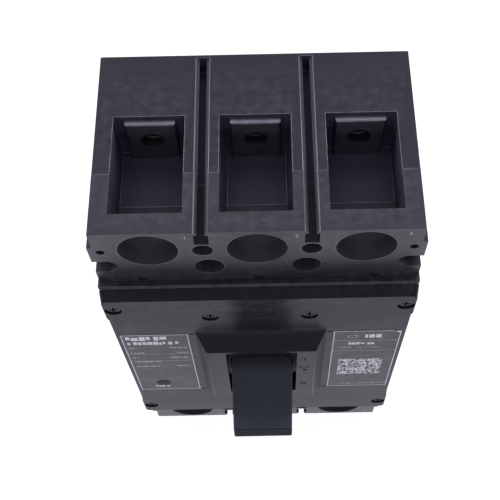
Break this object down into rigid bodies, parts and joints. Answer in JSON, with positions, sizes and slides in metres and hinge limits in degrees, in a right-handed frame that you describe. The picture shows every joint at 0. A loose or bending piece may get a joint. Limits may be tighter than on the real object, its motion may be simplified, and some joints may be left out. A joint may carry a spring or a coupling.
{
  "type": "moulded case circuit breaker",
  "caption": "Black moulded block circuit breaker with a lever handle on a raised boss, terminal windows at both ends and a full switching and trip mechanism inside.",
  "frame": {"origin": "centre of the four mounting holes, on the back face", "axes": "+X across the poles to the right, -Y out of the front towards the operator, +Z along the breaker towards the line terminals"},
  "size_m": [0.15, 0.1483, 0.257],
  "materials": {
    "housing_plastic": "semi-gloss moulded thermoset",
    "handle_plastic": "semi-gloss",
    "shield_plastic": "matte",
    "rating_plate": "printed film",
    "zinc_steel": "zinc plated",
    "ground_steel": "ground",
    "tinned_copper": "tinned copper bar",
    "copper": "bare copper",
    "braid_copper": "woven copper",
    "silver_contact": "silver alloy",
    "soft_iron": "plated sheet",
    "bimetal": "rolled",
    "insulating_board": "vulcanised fibre",
    "inner_plastic": "moulded",
    "spring_steel": "drawn wire",
    "button_plastic": "moulded"
  },
  "bodies": {
    "housing": {"rear_base": "housing_plastic", "front_housing": "housing_plastic", "face_cover": "housing_plastic", "rating_plate_left": "rating_plate", "rating_plate_right": "rating_plate", "face_cover_screws": "zinc_steel", "housing_screws": "zinc_steel", "line_terminal_1": "tinned_copper", "line_terminal_2": "tinned_copper", "line_terminal_3": "tinned_copper", "load_terminal_1": "tinned_copper", "load_terminal_2": "tinned_copper", "load_terminal_3": "tinned_copper", "fixed_contacts": "silver_contact", "terminal_nuts": "zinc_steel", "arc_plates_1": "soft_iron", "arc_plates_2": "soft_iron", "arc_plates_3": "soft_iron", "arc_chute_walls": "insulating_board", "mechanism_frame_left": "zinc_steel", "mechanism_frame_right": "zinc_steel", "frame_spacers": "zinc_steel", "heater_strip_1": "copper", "heater_strip_2": "copper", "heater_strip_3": "copper", "bimetal_strip_1": "bimetal", "bimetal_strip_2": "bimetal", "bimetal_strip_3": "bimetal", "magnet_yoke_1": "soft_iron", "magnet_yoke_2": "soft_iron", "magnet_yoke_3": "soft_iron", "trip_bar_brackets": "insulating_board", "trip_button_spring": "spring_steel", "flexible_braid_1": "braid_copper", "flexible_braid_2": "braid_copper", "flexible_braid_3": "braid_copper"},
    "handle": {"operating_handle": "handle_plastic", "handle_shield": "shield_plastic", "handle_yoke": "zinc_steel", "spring_anchor_pin": "ground_steel", "main_springs": "spring_steel"},
    "contact_carrier": {"contact_shaft": "inner_plastic", "crank_pin": "ground_steel", "contact_arm_1": "copper", "contact_arm_2": "copper", "contact_arm_3": "copper", "moving_contacts": "silver_contact"},
    "lower_link": {"lower_toggle_links": "zinc_steel", "knee_pin": "ground_steel"},
    "upper_link": {"upper_toggle_links": "zinc_steel"},
    "cradle": {"cradle": "zinc_steel", "cradle_pin": "ground_steel"},
    "latch": {"latch_plate": "zinc_steel", "latch_pin": "ground_steel"},
    "trip_bar": {"trip_bar": "inner_plastic", "calibration_screws": "zinc_steel"},
    "armature_1": {"armature_1": "soft_iron"},
    "armature_2": {"armature_2": "soft_iron"},
    "armature_3": {"armature_3": "soft_iron"},
    "trip_button": {"trip_button": "button_plastic"}
  },
  "joints": [
    {"name": "handle_swing", "type": "hinge", "parent": "housing", "child": "handle", "pos_m": [0, -0.06, 0.0033], "axis": [-1, 0, 0], "range_deg": [-24, 16], "deforming": ["main_springs"]},
    {"name": "contact_swing", "type": "hinge", "parent": "housing", "child": "contact_carrier", "pos_m": [0, -0.04, -0.008], "axis": [-1, 0, 0], "range_deg": [-19.4, 13], "deforming": ["flexible_braid_1", "flexible_braid_2", "flexible_braid_3"]},
    {"name": "lower_link_pivot", "type": "hinge", "parent": "contact_carrier", "child": "lower_link", "pos_m": [0, -0.05717, 0.00348], "axis": [1, 0, 0], "range_deg": [-25, 16.8]},
    {"name": "knee_pivot", "type": "hinge", "parent": "lower_link", "child": "upper_link", "pos_m": [0, -0.0678, -0.0042], "axis": [1, 0, 0], "range_deg": [-15.6, 10.4]},
    {"name": "cradle_pivot", "type": "hinge", "parent": "housing", "child": "cradle", "pos_m": [0, -0.082, 0.026], "axis": [1, 0, 0], "range_deg": [0, 8], "stiffness_Nm_per_rad": 0.2, "springref_deg": -8.59},
    {"name": "latch_pivot", "type": "hinge", "parent": "housing", "child": "latch", "pos_m": [0, -0.072, -0.032], "axis": [1, 0, 0], "range_deg": [0, 8], "stiffness_Nm_per_rad": 0.02, "springref_deg": -11.46},
    {"name": "trip_bar_pivot", "type": "hinge", "parent": "housing", "child": "trip_bar", "pos_m": [0, -0.076, -0.056], "axis": [-1, 0, 0], "range_deg": [0, 10], "stiffness_Nm_per_rad": 0.03, "springref_deg": -11.46},
    {"name": "armature_1_pivot", "type": "hinge", "parent": "housing", "child": "armature_1", "pos_m": [-0.048, -0.043, -0.0495], "axis": [1, 0, 0], "range_deg": [0, 2], "stiffness_Nm_per_rad": 0.05, "springref_deg": -11.46},
    {"name": "armature_2_pivot", "type": "hinge", "parent": "housing", "child": "armature_2", "pos_m": [0, -0.043, -0.0495], "axis": [1, 0, 0], "range_deg": [0, 2], "stiffness_Nm_per_rad": 0.05, "springref_deg": -11.46},
    {"name": "armature_3_pivot", "type": "hinge", "parent": "housing", "child": "armature_3", "pos_m": [0.048, -0.043, -0.0495], "axis": [1, 0, 0], "range_deg": [0, 2], "stiffness_Nm_per_rad": 0.05, "springref_deg": -11.46},
    {"name": "trip_button_press", "type": "slide", "parent": "housing", "child": "trip_button", "axis": [0, 1, 0], "range_m": [0, 0.003], "stiffness_N_per_m": 600, "springref_m": -0.002, "deforming": ["trip_button_spring"]}
  ],
  "couplings": [
    {"joint": "contact_swing", "follows": "handle_swing", "ratio": 0.8},
    {"joint": "lower_link_pivot", "follows": "handle_swing", "ratio": 1.03},
    {"joint": "knee_pivot", "follows": "handle_swing", "ratio": 0.64}
  ]
}
